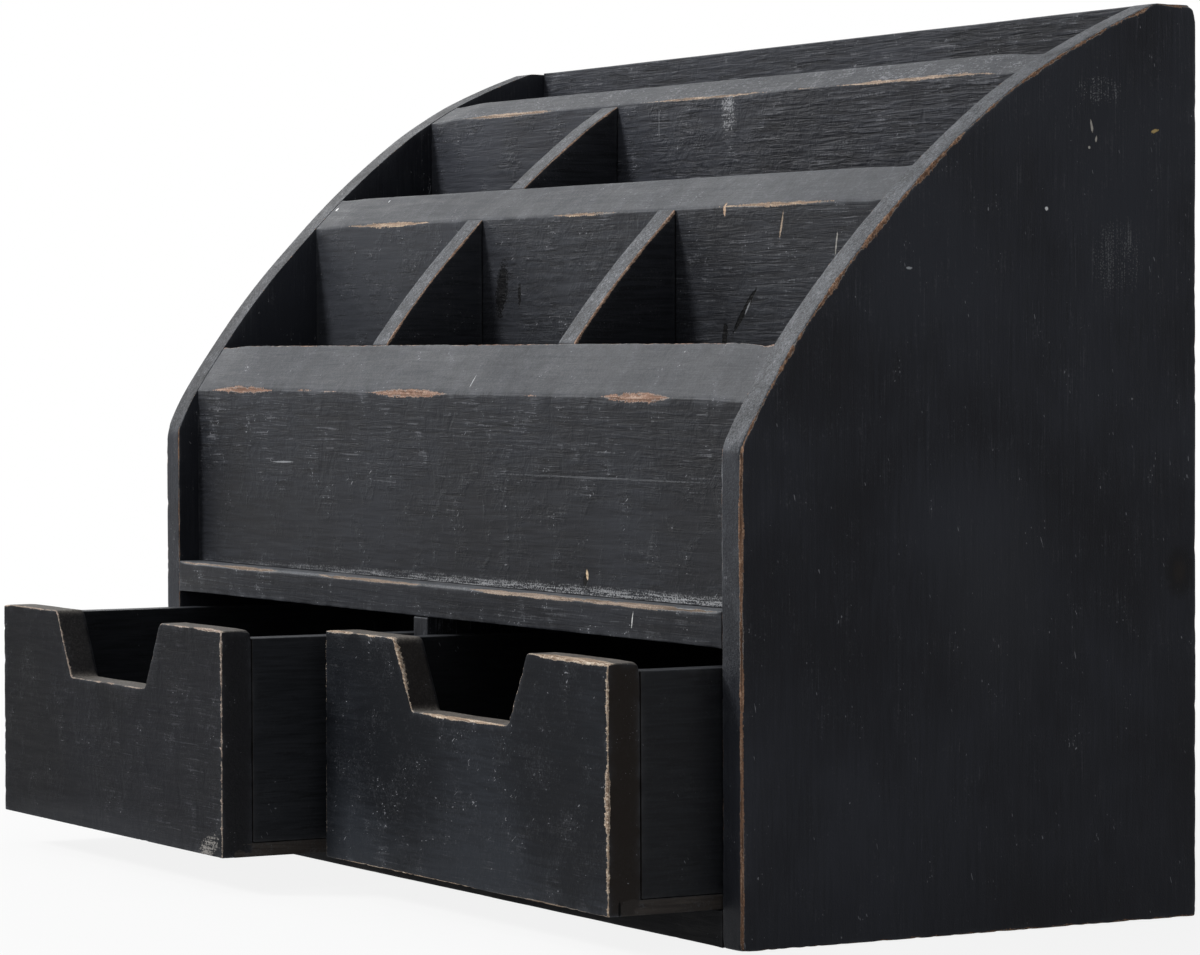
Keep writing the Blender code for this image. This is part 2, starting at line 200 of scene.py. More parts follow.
# an edge is named by the two faces that meet in it: x1z1 is the top edge on the right
allEdges = ("y0z0", "y0z1", "y1z0", "y1z1", "x0z0", "x0z1", "x1z0", "x1z1", "x0y0", "x0y1", "x1y0", "x1y1")
axisOf = {"x": 0, "y": 1, "z": 2}
plainEdge = {"width": -2.0, "swing": 0.5}  # for what an edge's own entry leaves out
flushEnd = {"width": -4.0, "swing": 0.0, "round": -0.48}  # where a board's top runs into its neighbour
unworn = -9.0
wearShape = {
    "round": 0.6,  # a board's usual corner radius
    "pace": 7.0,  # length over which an edge's wear slowly changes
    "quickPace": 2.1,
    "slowPart": 1.4,
    "quickPart": 0.6,
    "patchMargin": 0.5,
    "roundReach": 3.2,  # how far from the edge its own rounding fades
    "wornRound": 0.4,  # further radius for each millimetre of worn width, up to mostWorn
    "mostWorn": 2.0,
    "chip": 0.3,
    "chipFrom": 0.55,  # chips start where the quick noise passes this, and are full chipRange further up
    "chipRange": 0.45,
    "chipReach": 1.3,
    "hemReach": 0.9,
    "leastRadius": 0.12,
    "mostRadius": 0.47,  # as a share of the board's thickness
}
planing = {"depth": 0.15, "wave": 46.0, "apart": 7.3, "seed": 40}
grainShape = {
    "longer": 16,  # how many times as long as wide the ridges are
    "wide": 1.9,
    "narrow": 0.95,
    "narrowPart": 0.5,
    "dips": 21.0,
    "calmTop": 0.85,  # the tops are rubbed smooth by this share
}
litShape = {
    "from": 0.25,  # a face carries the painted light where its normal rises past this, and fully so this much further on
    "over": 0.2,
    "frontFoot": 0.2,  # share of a front's painted light kept below the height frontFade: painted shadow of the drawers
    "frontFade": -30,
    "fadeOver": 26,
}


def patchWidths(along, patches, blunt):
    # worn patches (from, to, width): full in the middle and pointed at both ends, blunter with a higher power
    total = np.full_like(along, unworn)
    margin = wearShape["patchMargin"]
    for start, end, width in patches:
        share = np.abs(2 * along - start - end) / (end - start)
        lens = (width + margin) * (1 - share ** blunt) - margin
        total = np.maximum(total, np.where(share < 1, lens, unworn))
    return total


def bodyCorners(body):
    corners = [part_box(n) for n in nodes if nodes[n]["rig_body"] == body]
    low = np.min([np.array(c[0]) for c in corners], axis=0) * 1000
    high = np.max([np.array(c[1]) for c in corners], axis=0) * 1000
    return low, high


bodyBoxes = {body: bodyCorners(body) for body in frame["bodies"]}


def handPlaned(points, body):
    # every board of a body leans in by the same slow wave, more the further it is from the body's middle
    # and foot, so the joints stay shut
    low, high = bodyBoxes[body]
    middle = (low + high) / 2
    half = (high - low) / 2
    share = np.clip((points - middle) / half, -1, 1)
    share[:, 2] = np.clip((points[:, 2] - low[2]) / (2 * half[2]), 0, 1)
    wave = np.stack([cloudNoise(points / planing["wave"] + planing["apart"] * axis, planing["seed"] + axis)
                     for axis in range(3)], axis=1)
    return points - planing["depth"] * wave * share


def makeMesh(name, points, quads, fields):
    mesh = bpy.data.meshes.new(name)
    mesh.vertices.add(len(points))
    mesh.vertices.foreach_set("co", (points / 1000).astype(np.float32).ravel())
    mesh.loops.add(quads.size)
    mesh.loops.foreach_set("vertex_index", quads.astype(np.int32).ravel())
    mesh.polygons.add(len(quads))
    mesh.polygons.foreach_set("loop_start", np.arange(0, quads.size, 4, dtype=np.int32))
    mesh.update(calc_edges=True)
    mesh.polygons.foreach_set("use_smooth", np.ones(len(quads), bool))
    for field, values in fields.items():
        attribute = mesh.attributes.new(field, "FLOAT", "POINT")
        attribute.data.foreach_set("value", values.astype(np.float32))
    mesh.update()
    board = bpy.data.objects.new(name, mesh)
    scene.collection.objects.link(board)
    return board


def wornEdges(look, sharp, square, size):
    # for every point: millimetres inside the bare wood, corner radius, depth of chips, and distance to the
    # nearest edge. An edge's worn width is its own width plus its swing times slow and quick noise, or the
    # worn patch where that is wider; wood is bare as far from the edge as that width
    shape = wearShape
    pace = square.sum(axis=1)
    bare = np.full(len(sharp), unworn)
    radius = np.full(len(sharp), look.get("round", shape["round"]))
    chips = np.zeros(len(sharp))
    nearest = np.full(len(sharp), 99.0)
    for place, edge in enumerate(allEdges):
        wear = {**plainEdge, **look.get("edges", {}).get(edge, {})}
        ends = [(axisOf[edge[at]], edge[at + 1] == "1") for at in (0, 2)]
        apart = [np.abs(sharp[:, a] - (size[a] if top else 0.0)) for a, top in ends]
        away = apart[0] + apart[1]
        spread = wear.get("spread", (1, 1))  # how much further the wear runs over each of the two faces
        over = apart[0] / spread[0] + apart[1] / spread[1]
        along = square[:, 3 - ends[0][0] - ends[1][0]]
        slow = edgeNoise(pace, wear.get("pace", shape["pace"]), look["seed"] * 31 + place)
        quick = edgeNoise(pace, shape["quickPace"], look["seed"] * 57 + place)
        sway = shape["slowPart"] * slow + shape["quickPart"] * quick - 1.0
        width = wear["width"] + wear["swing"] * sway
        worn = patchWidths(along, wear.get("patches", ()), wear.get("blunt", 2.4))
        width = np.maximum(width, worn * np.where(worn > 0, 0.7 + 0.5 * slow, 1.0))
        bare = np.maximum(bare, width - over)
        close = np.exp(-(away / shape["roundReach"]) ** 2)
        radius += (wear.get("round", 0.0) + shape["wornRound"] * np.clip(width, 0, shape["mostWorn"])) * close
        bite = np.clip((quick - shape["chipFrom"]) / shape["chipRange"], 0, 1)
        bite = bite * np.clip(width + 0.4, 0, 1.4) * wear.get("chip", shape["chip"])
        chips = np.maximum(chips, bite * np.exp(-(away / shape["chipReach"]) ** 2))
        nearest = np.minimum(nearest, away)
    return bare, np.clip(radius, shape["leastRadius"], shape["mostRadius"] * size.min()), chips, nearest


def grainSink(look, points, normal):
    # how far the surface lies below the plane: wide and narrow ridges along the grain, and shallow dips
    fibre = np.ones(3)
    fibre[axisOf[look["grain"]]] = 1 / grainShape["longer"]
    seed = look["seed"]
    ridges = cloudNoise(points * fibre / grainShape["wide"] + seed, seed + 3)
    ridges += grainShape["narrowPart"] * cloudNoise(points * fibre / grainShape["narrow"] + seed, seed + 4)
    dips = cloudNoise(points / grainShape["dips"] + seed, seed + 5)
    calmTop = 1 - grainShape["calmTop"] * np.clip(normal[:, 2], 0, 1)
    ridge = look.get("ridge", 0.1) * calmTop * ridges / (1 + grainShape["narrowPart"])
    return ridge + look.get("dip", 0.12) * dips


def paintFields(look, points, normal, bare, nearest):
    # what the paint reads at each point: bare wood, painted light on the tops and fronts, edges and end grain
    lean = leanOf(look.get("topLine"), points[:, 0], points[:, 1])
    # painted light: paler paint on faces that point up, and on fronts where it is set
    facesUp = (normal[:, 2] / lean - look.get("litFrom", litShape["from"])) / litShape["over"]
    facesFront = np.clip(-normal[:, 1], 0, 1) ** 4 * look.get("litFront", 0.0)
    # below frontFade the fronts keep only frontFoot of it: painted shadow of the drawers
    climb = (points[:, 2] - look.get("frontFade", litShape["frontFade"])) / litShape["fadeOver"]
    facesFront *= litShape["frontFoot"] + (1 - litShape["frontFoot"]) * np.clip(climb, 0, 1)
    ends = np.abs(normal[:, axisOf[look["grain"]]]) ** 3
    if look["grain"] == "x":
        ends = np.maximum(ends, np.clip(normal[:, 2], 0, 1) * (1 - 1 / lean) * look.get("endSlope", 0.0))
    return {
        "bareWood": np.clip(bare, -6, 6),
        "paintedLight": np.maximum(np.clip(facesUp, 0, 1) * look.get("rub", 1.0), facesFront),
        "nearEdge": np.exp(-nearest / wearShape["hemReach"]),
        "endGrain": ends,
    }


def makeBoard(name, look, material):
    # a sawn board: the grid skin of its box, its top laid on the top line, each edge rounded by its own
    # radius, then sunk along its normal by the grain and the chips on worn edges, and hand-planed
    node = look["node"]
    body = nodes[node]["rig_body"]
    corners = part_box(node)
    reach = np.array(look.get("reach", (0, 0, 0)), float)
    low = np.array(corners[0]) * 1000 - reach
    high = np.array(corners[1]) * 1000 + reach
    size = high - low
    topLine = look.get("topLine")
    profiles = [None, None, None]
    if "follow" in look:  # the axis along which the grid's steps are even on the top line itself
        middle = (low + high) / 2
        if look["follow"] == 0:
            profiles[0] = lambda s: topLine(s + low[0], np.full_like(s, middle[1]))
        else:
            profiles[1] = lambda s: topLine(np.full_like(s, middle[0]), s + low[1])
    axes = [stations(size[a], look["step"][a], profiles[a]) for a in range(3)]
    sharp, quads = boxSkin(axes)
    square = layUnder(topLine, sharp + low, low[2], high[2])
    bare, radius, chips, nearest = wornEdges(look, sharp, square, size)
    inner = np.clip(sharp, radius[:, None], size - radius[:, None])
    offset = sharp - inner
    normal = offset / np.linalg.norm(offset, axis=1, keepdims=True)
    points = layUnder(topLine, inner + normal * radius[:, None] + low, low[2], high[2])
    sink = grainSink(look, points, normal) + chips
    points = handPlaned(points - normal * sink[:, None], body)
    board = makeMesh(name, points, quads, paintFields(look, points, normal, bare, nearest))
    board.data.materials.append(material)
    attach(board, body)
    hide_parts(node)
    return board


def addNode(tree, kind, links=None, values=None, **settings):
    made = tree.nodes.new(kind)
    for key, value in settings.items():
        setattr(made, key, value)
    for key, value in (values or {}).items():
        made.inputs[key].default_value = value
    for key, source in (links or {}).items():
        tree.links.new(source, made.inputs[key])
    return made


def sums(tree, operation, *terms):
    # one Math node: each term is a socket or a number
    made = addNode(tree, "ShaderNodeMath", operation=operation)
    for at, term in enumerate(terms):
        if isinstance(term, bpy.types.NodeSocket):
            tree.links.new(term, made.inputs[at])
        else:
            made.inputs[at].default_value = term
    return made.outputs[0]


def weighed(tree, *parts):
    # the sum of the parts, each a socket or a pair of socket and weight
    total = None
    for part in parts:
        term = sums(tree, "MULTIPLY", *part) if isinstance(part, tuple) else part
        total = term if total is None else sums(tree, "ADD", total, term)
    return total


def ramp(tree, value, low, high, start=0.0, end=1.0):
    # start below low, end above high, and a smooth step between them
    made = addNode(tree, "ShaderNodeMapRange", {"Value": value},
                   {"From Min": low, "From Max": high, "To Min": start, "To Max": end},
                   interpolation_type="SMOOTHSTEP")
    return made.outputs[0]


def tint(tree, share, first, second):
    # a colour mix: first and second are sockets or colours
    made = addNode(tree, "ShaderNodeMix", {"Factor": share}, data_type="RGBA")
    for at, colour in ((6, first), (7, second)):
        if isinstance(colour, bpy.types.NodeSocket):
            tree.links.new(colour, made.inputs[at])
        else:
            made.inputs[at].default_value = (*colour, 1)
    return made.outputs[2]


def noise(tree, vector, scale, detail=3.0, roughness=0.55, distortion=0.0):
    made = addNode(tree, "ShaderNodeTexNoise", {"Vector": vector},
                   {"Scale": scale, "Detail": detail, "Roughness": roughness, "Distortion": distortion})
    return made.outputs["Fac"]


def grey(hexCode):
    # a written colour such as "2f3134" as linear light
    parts = [int(hexCode[at:at + 2], 16) / 255 for at in (0, 2, 4)]
    return tuple(p / 12.92 if p <= 0.04045 else ((p + 0.055) / 1.055) ** 2.4 for p in parts)


def veil(tree, below, mask, strength, hexCode):
    # a written colour laid over the colour below, as far as the mask times strength goes
    return tint(tree, sums(tree, "MULTIPLY", mask, strength), below, grey(hexCode))


def newMaterial(name):
    material = bpy.data.materials.new(name)
    material.use_nodes = True
    material.node_tree.nodes.clear()
    return material, material.node_tree


paint = {
    "dark": "15161a",
    "light": "282a2f",
    "groove": "0a0a0c",
    "dust": "5c5e63",
    "speck": "94959a",
    "rub": "434549",  # the tops, painted pale: painted light from above
    "rubDark": "303236",
    # edge: the pale hem along every edge, partly paint rubbed thin and partly a painted highlight on the
    # rounded edges
    "edge": "4c4e53",
    "end": "28231f",  # end grain
    "line": "85827f",  # the thin paint beside bare wood
    "stain": "2b201a",
    "wood": "9d806d",
    "woodPale": "c4ab98",
    "woodDark": "694f40",
    "roughness": 0.52,
    "specular": 0.10,
    "bump": 1.0,
    "stretch": 14.0,  # how many times as long as wide the grain is
    "ridge": 0.4,  # height of the relief along the grain, mm
    "calm": 0.4,  # share of that height where the board is smoothest
    "riseAxis": "z",  # relief, brush lines and tone change along this axis between riseFrom and riseTo, mm
    "riseFrom": -1,
    "riseTo": 0,
    "toneRise": 0.0,  # how much paler the paint gets along it: painted light falloff
    "rubRise": 0.0,  # and how much paler the painted-light tops get: painted light falloff as well
    "brush": 0.2,  # strength of the pale brush lines
    "grainTone": 0.45,  # share of the grain in the light and dark of the paint, the rest is broad clouds; the grain's waves also raise the relief, so the paint is paler on its ridges and darker in its valleys: painted light and shade
    "grooves": 0.6,  # strength of the dark lines along the grain
    "mottle": 0.15,
    "dashes": 0.3,  # strength of the short pale lines along the relief: painted highlight
    "flecks": 0.08,  # strength of the small pale flecks on the tops with painted light
    "fleckStretch": 2.0,
    "specks": 0.3,  # how many pale specks
    "gritBump": 0.05,
    "scratchTurn": (0.0, 0.95, 0.0),
    "scratchSize": (0.0007, 0.0007, 0.0042),
    "shift": (0, 0, 0),
    "marks": (),
}

patterns = {
    # scale per millimetre, detail, roughness, distortion; the first four are drawn out along the grain
    "fibre": (0.55, 6, 0.62, 0.5),
    "waves": (0.8, 2.5, 0.5, 0.6),
    "hair": (1.4, 3, 0.6, 0.5),
    "lines": (0.38, 4, 0.55, 0.8),
    "broad": (0.013, 3, 0.5),
    "fine": (0.9, 4, 0.6),
    "grit": (1.7, 2, 0.6),
    "wild": (0.09, 4, 0.65, 0.4),
    "fleck": (1.15, 3, 0.75),
    "speck": (1.25, 1.5, 0.6),
    "scratch": (1.0, 1, 0.5),
}

shows = {
    # each layer is nought at the first value of its pattern and full at the second
    "light": (0.44, 0.76),
    "brush": (0.60, 0.70),
    "dust": (0.50, 0.72),
    "dash": (0.68, 0.74),
    "rub": (0.34, 0.66),
    "fleck": (0.56, 0.70),
    "scratch": (0.80, 0.83),
    "line": (-0.05, 0.12),
    "wood": (0.0, 0.2),
    "stain": (-0.5, 0.05),
    "stainWidth": (0.2, 0.6),
    "woodLight": (0.38, 0.6),
    "woodPale": (1.0, 1.25),
}

# how strongly each layer covers what lies below it
covers = {"end": 0.8, "rub": 0.9, "edge": 0.7, "speck": 0.65, "line": 0.85, "stain": 0.8}


def mark(at, size, colour, turn=(0, 0, 0), comb=None, core=0.65, ragged=1.2, strength=1.0, depth=0.1):
    # a scratch, dent or patch: it fills an ellipsoid with half-axes size, turned by turn, from core of the
    # way out to a ragged border, and lies depth below the paint; comb breaks it into lines along the grain
    return {"at": at, "size": size, "colour": colour, "turn": turn, "comb": comb, "core": core,
            "ragged": ragged, "strength": strength, "depth": depth}


def paintedWood(name, **changes):
    # old black paint over planed wood: brushed relief along the grain, paler on the ridges and where it faces
    # up (painted highlight on the ridges and painted light from above), specks and short scratches, and bare
    # wood where the bareWood attribute plus ragged noise is above nought
    look = {**paint, **changes}
    material, tree = newMaterial(name)
    place = addNode(tree, "ShaderNodeTexCoord").outputs["Object"]

    def drawnOut(stretch):
        # object coordinates in millimetres, drawn out along the grain
        scale = [1000.0, 1000.0, 1000.0]
        scale[axisOf[look["grain"]]] /= stretch
        return addNode(tree, "ShaderNodeMapping", {"Vector": place},
                       {"Location": look["shift"], "Scale": scale}).outputs[0]

    def attribute(field):
        return addNode(tree, "ShaderNodeAttribute", attribute_name=field).outputs["Fac"]

    flat = drawnOut(1.0)
    grainAt = drawnOut(look["stretch"])
    longAt = drawnOut(2 * look["stretch"])
    speckAt = drawnOut(look["fleckStretch"])
    fibre = noise(tree, grainAt, *patterns["fibre"])
    waves = noise(tree, grainAt, *patterns["waves"])
    hair = noise(tree, longAt, *patterns["hair"])
    lines = noise(tree, longAt, *patterns["lines"])
    broad = noise(tree, flat, *patterns["broad"])
    fine = noise(tree, flat, *patterns["fine"])
    grit = noise(tree, flat, *patterns["grit"])
    wild = noise(tree, flat, *patterns["wild"])
    patch = sums(tree, "SUBTRACT", wild, 0.5)
    ragged = sums(tree, "SUBTRACT", fine, 0.5)
    streaks = weighed(tree, (hair, 0.55), (fibre, 0.45))
    roughHair = weighed(tree, hair, grit)
    bareAt = attribute("bareWood")
    litAt = attribute("paintedLight")
    height = addNode(tree, "ShaderNodeSeparateXYZ", {0: place}).outputs[axisOf[look["riseAxis"]]]
    rise = ramp(tree, height, look["riseFrom"] / 1000, look["riseTo"] / 1000, -0.12, 0.12)

    # the paint: clouds and grain tone (paler on the relief's ridges, darker in its valleys: painted light and
    # shade), grooves, brush lines, dust, and dashes that are painted highlights
    tone = weighed(tree, (waves, look["grainTone"]), (broad, 1 - look["grainTone"]), (streaks, 0.2),
                   (rise, look["toneRise"]))
    colour = tint(tree, ramp(tree, tone, *shows["light"]), grey(look["dark"]), grey(look["light"]))
    groove = ramp(tree, sums(tree, "ABSOLUTE", sums(tree, "SUBTRACT", lines, 0.5)), 0.0, 0.022, 1, 0)
    groove = sums(tree, "MULTIPLY", groove, ramp(tree, wild, 0.35, 0.6))
    colour = veil(tree, colour, groove, look["grooves"], look["groove"])
    brush = ramp(tree, weighed(tree, streaks, (patch, 0.3), (rise, 0.4)), *shows["brush"])
    colour = veil(tree, colour, brush, look["brush"], look["dust"])
    dusty = ramp(tree, weighed(tree, (weighed(tree, grit, fine), 0.5), (patch, 0.5)), *shows["dust"])
    colour = veil(tree, colour, dusty, look["mottle"], look["dust"])
    # dashes: short pale lines along the grain, a painted highlight
    dash = weighed(tree, (hair, 0.8), (patch, 0.45), (weighed(tree, rise, fine), 0.3))
    colour = veil(tree, colour, ramp(tree, dash, *shows["dash"]), look["dashes"], look["speck"])

    # end grain, the tops and fronts with painted light, and the hem along the edges (thin paint and painted
    # highlight)
    colour = veil(tree, colour, attribute("endGrain"), covers["end"], look["end"])
    litNoise = weighed(tree, (grit, 0.55), (fine, 0.45), (patch, 0.35), (rise, look["rubRise"]))
    litTone = tint(tree, ramp(tree, litNoise, *shows["rub"]), grey(look["rubDark"]), grey(look["rub"]))
    fleck = noise(tree, speckAt, *patterns["fleck"])
    fleck = weighed(tree, fleck, (patch, 0.45), (rise, look["rubRise"] * 0.4))
    litTone = veil(tree, litTone, ramp(tree, fleck, *shows["fleck"]), look["flecks"], look["speck"])
    colour = tint(tree, sums(tree, "MULTIPLY", litAt, covers["rub"]), colour, litTone)
    # hem: thin paint and a painted highlight along the edges
    hem = sums(tree, "MULTIPLY", attribute("nearEdge"), ramp(tree, wild, 0.35, 0.65))
    colour = veil(tree, colour, hem, covers["edge"], look["edge"])

    # specks and scratches
    speck = weighed(tree, noise(tree, speckAt, *patterns["speck"]), (patch, 0.7))
    first = 0.80 - 0.08 * look["specks"]
    dot = ramp(tree, speck, first, first + 0.05)
    turned = addNode(tree, "ShaderNodeMapping", {"Vector": place},
                     {"Rotation": look["scratchTurn"], "Scale": look["scratchSize"]},
                     vector_type="TEXTURE").outputs[0]
    scratch = weighed(tree, noise(tree, turned, *patterns["scratch"]), (patch, 0.4))
    pale = sums(tree, "MAXIMUM", dot, ramp(tree, scratch, *shows["scratch"]))
    colour = veil(tree, colour, pale, covers["speck"], look["speck"])

    # thin paint, stain and bare wood on the worn edges
    thin = ramp(tree, weighed(tree, bareAt, ragged), *shows["line"])
    colour = veil(tree, colour, thin, covers["line"], look["line"])
    torn = weighed(tree, (streaks, 2.6), (fine, 1.4))
    level = weighed(tree, bareAt, sums(tree, "SUBTRACT", torn, 2.0))
    bareMask = ramp(tree, level, *shows["wood"])
    stained = sums(tree, "MULTIPLY", ramp(tree, level, *shows["stain"]),
                   ramp(tree, bareAt, *shows["stainWidth"]))
    colour = veil(tree, colour, stained, covers["stain"], look["stain"])
    woodLight = ramp(tree, streaks, *shows["woodLight"])
    woodTone = tint(tree, woodLight, grey(look["woodDark"]), grey(look["wood"]))
    paleLines = ramp(tree, roughHair, *shows["woodPale"])
    woodTone = tint(tree, paleLines, woodTone, grey(look["woodPale"]))
    colour = tint(tree, bareMask, colour, woodTone)

    # the relief in millimetres: waves and grooves along the grain, calmer on the tops that carry the painted
    # light
    swell = ramp(tree, weighed(tree, (patch, 0.8), rise), -0.14, 0.14, look["calm"] * look["ridge"],
                 look["ridge"])
    relief = weighed(tree, waves, (hair, 0.3), (groove, -0.25))
    calm = ramp(tree, litAt, 0.0, 1.0, 1.0, 0.25)
    relief = sums(tree, "MULTIPLY", relief, sums(tree, "MULTIPLY", swell, calm))
    relief = weighed(tree, relief, (wild, 0.12), (grit, look["gritBump"]), (bareMask, -0.10), (dot, 0.05))

    for spot in look["marks"]:
        at = addNode(tree, "ShaderNodeMapping", {"Vector": place},
                     {"Location": [c / 1000 for c in spot["at"]],
                      "Rotation": [math.radians(a) for a in spot["turn"]],
                      "Scale": [c / 1000 for c in spot["size"]]}, vector_type="TEXTURE").outputs[0]
        away = addNode(tree, "ShaderNodeVectorMath", {0: at}, operation="LENGTH").outputs["Value"]
        away = weighed(tree, away, (ragged, spot["ragged"]))
        mask = ramp(tree, away, spot["core"], 1.05, spot["strength"], 0)
        if spot["comb"]:
            mask = sums(tree, "MULTIPLY", mask, ramp(tree, roughHair, spot["comb"], spot["comb"] + 0.12))
        colour = tint(tree, mask, colour, grey(spot["colour"]))
        relief = weighed(tree, relief, (mask, -spot["depth"]))

    bump = addNode(tree, "ShaderNodeBump", {"Height": relief}, {"Strength": look["bump"], "Distance": 0.001})
    gloss = ramp(tree, weighed(tree, fibre, broad), 0.6, 1.4, look["roughness"] - 0.07,
                 look["roughness"] + 0.1)
    gloss = weighed(tree, gloss, (bareMask, 0.25))
    shader = addNode(tree, "ShaderNodeBsdfPrincipled",
                     {"Base Color": colour, "Roughness": gloss, "Normal": bump.outputs[0]},
                     {"Specular IOR Level": look["specular"]})
    addNode(tree, "ShaderNodeOutputMaterial", {"Surface": shader.outputs[0]})
    return material


steelLook = {
    "dark": "7d7f82",
    "light": "b4b6b8",
    "scale": (900, 900, 5000),
    "bump": 0.4,
    "gloss": (0.3, 0.45),
}


def brightSteel(name):
    # drawn wire: fine rings of light and dark round a bright grey, with a slightly brushed bump
    material, tree = newMaterial(name)
    place = addNode(tree, "ShaderNodeTexCoord").outputs["Object"]
    at = addNode(tree, "ShaderNodeMapping", {"Vector": place}, {"Scale": steelLook["scale"]}).outputs[0]
    drawn = noise(tree, at, 1.0, 4, 0.6)
    colour = tint(tree, drawn, grey(steelLook["dark"]), grey(steelLook["light"]))
    bump = addNode(tree, "ShaderNodeBump", {"Height": drawn},
                   {"Strength": steelLook["bump"], "Distance": 0.0001})
    gloss = ramp(tree, drawn, 0.2, 0.8, *steelLook["gloss"])
    shader = addNode(tree, "ShaderNodeBsdfPrincipled",
                     {"Base Color": colour, "Roughness": gloss, "Normal": bump.outputs[0]}, {"Metallic": 1.0})
    addNode(tree, "ShaderNodeOutputMaterial", {"Surface": shader.outputs[0]})
    return material


sideJoint = {"board": 12.0, "blend": 28.0, "under": 0.2}


def risen(rise):
    # the shared curve lifted by rise in the middle of the width, and just under the sides beside them
    def topLine(x, y):
        inside = np.clip((curve["halfWidth"] - sideJoint["board"] - np.abs(x)) / sideJoint["blend"], 0, 1)
        inside = inside * inside * (3 - 2 * inside)
        return curveTop(x, y) + rise * inside - sideJoint["under"] * (1 - inside)
    return topLine


# the sides' paint is paler towards the top and darker towards the foot: painted light and shade
sidePaint = {
    "wood": "876752", "woodPale": "a98c76", "woodDark": "4a372c", "stain": "2e1a13", "ridge": 0.13,
    "calm": 0.3, "brush": 0.04, "specks": 0.25, "dark": "14151a", "light": "2a2c32", "dust": "4a4c50",
    "rub": "5c5f64", "rubDark": "1f2125", "flecks": 0.4, "grainTone": 0.16, "grooves": 0.2, "mottle": 0.1,
    "gritBump": 0.14, "dashes": 0.05, "line": "a19a94", "riseFrom": -60, "riseTo": 300, "toneRise": 0.6,
}
sideLook = {
    "step": (2.2, 1.7, 2.4), "grain": "z", "follow": 1, "ridge": 0.05, "dip": 0.08, "round": 0.55,
    "topLine": curveTop, "slot": "cabinet_paint", "seed": 11, "litFrom": 0.15, "litFront": 0.3,
    # their front edges carry painted light, cut to a share below 66 mm: painted shadow of the drawers
    "frontFade": 66,
}
outerArc = {"width": 0.55, "swing": 0.8, "round": 0.45, "chip": 0.55, "pace": 4.0, "spread": (1, 1.3),
            "patches": ((-62, -46, 1.05), (-47, -27, 1.25), (-28, -6, 1.0), (12, 34, 0.8))}
outerFront = {"width": 0.95, "swing": 0.45, "round": 0.3, "chip": 0.35, "pace": 9.0}
thinLine = {"width": 0.32, "swing": 0.3, "chip": 0.2}
innerArc = {"width": -0.1, "swing": 0.4, "round": -0.4}
leftArc = {"width": -0.3, "swing": 0.4, "round": 0.3, "chip": 0.15}
footLine = {"width": 0.5, "swing": 0.6, "chip": 0.3, "pace": 4.0}
rearTop = {"width": -0.8, "round": 2.4}
frontTop = {"width": -1.0, "swing": 0.4, "round": 0.6}
frontFoot = {"width": -0.8, "round": 0.8}

makeBoard("rightSideBoard", {
    **sideLook, "node": "right_side_panel",
    "edges": {"x1z1": outerArc, "x1y0": outerFront, "x0y0": thinLine, "x0z1": innerArc, "y0z1": frontTop,
              "y1z1": rearTop, "x1y1": {"width": 0.1}, "x1z0": footLine,
              "y0z0": frontFoot},
}, paintedWood("rightSidePaint", grain="z", scratchTurn=(0.25, 0, 0), **sidePaint, marks=(
    mark((222.5, 49.5, 275.5), (4, 9.5, 5), "7b7c7e", comb=1.08, ragged=1.4, strength=0.8, depth=0),
    mark((222.5, 57, 220), (4, 10.5, 13.5), "646567", comb=1.05, ragged=1.4, strength=0.7, depth=0),
    mark((222.5, 72.0, 262.5), (3, 1.7, 0.7), "b9a06c", turn=(18, 0, 0), depth=0.2),
    mark((222.5, 46.4, 263.4), (3, 0.5, 2.3), "b5b0a8", turn=(10, 0, 0), depth=0.2),
    mark((222.5, 48.2, 259.4), (3, 0.45, 1.4), "b5b0a8", turn=(-8, 0, 0), depth=0.2),
    mark((222.5, 45.4, 256.6), (3, 0.5, 0.5), "b5b0a8"),
    mark((222.5, -25.4, 216.5), (3, 1.2, 0.5), "9b9ea2"),
    mark((222.5, 28.3, 236.2), (3, 0.7, 0.7), "dadbdc", turn=(20, 0, 0)),
    # painted highlights: a pale line on the front corner of the outer arc, and two on the inner front edge
    mark((222.2, -83.6, 169.2), (0.6, 9.5, 0.5), "b4b2ae", turn=(60.5, 0, 0), ragged=0.8),
    mark((210.6, -89, 151), (0.7, 0.9, 8.5), "8b8d91", ragged=1.1, depth=0),
    mark((210.6, -89, 126), (0.6, 0.9, 7.0), "7b7d81", ragged=1.3, depth=0),
    mark((222.5, 8, 112), (4, 34, 52), "34363b", core=0, ragged=0.4, strength=0.45, depth=0),
    mark((222.5, 82, 116), (4, 7.0, 10), "0b0a0b", core=0.55, ragged=0.5, strength=0.65, depth=0.15),
    mark((222.5, 82, 116), (4, 3.5, 5.5), "1f1b19", core=0.2, ragged=0.9, strength=0.8, depth=-0.1),
)))

makeBoard("leftSideBoard", {
    **sideLook, "node": "left_side_panel", "seed": 12, "litFront": 0.14,
    "edges": {"x0z1": leftArc, "x0y0": outerFront, "x1y0": thinLine, "x1z1": innerArc, "y0z1": frontTop,
              "y1z1": rearTop, "x0y1": {"width": -0.9, "swing": 0.6}, "x0z0": footLine,
              "y0z0": frontFoot},
}, paintedWood("leftSidePaint", grain="z", scratchTurn=(-0.25, 0, 0), shift=(70, 30, 0),
               **{**sidePaint, "rub": "494b4f", "rubDark": "191a1d"}))
print("side boards made")

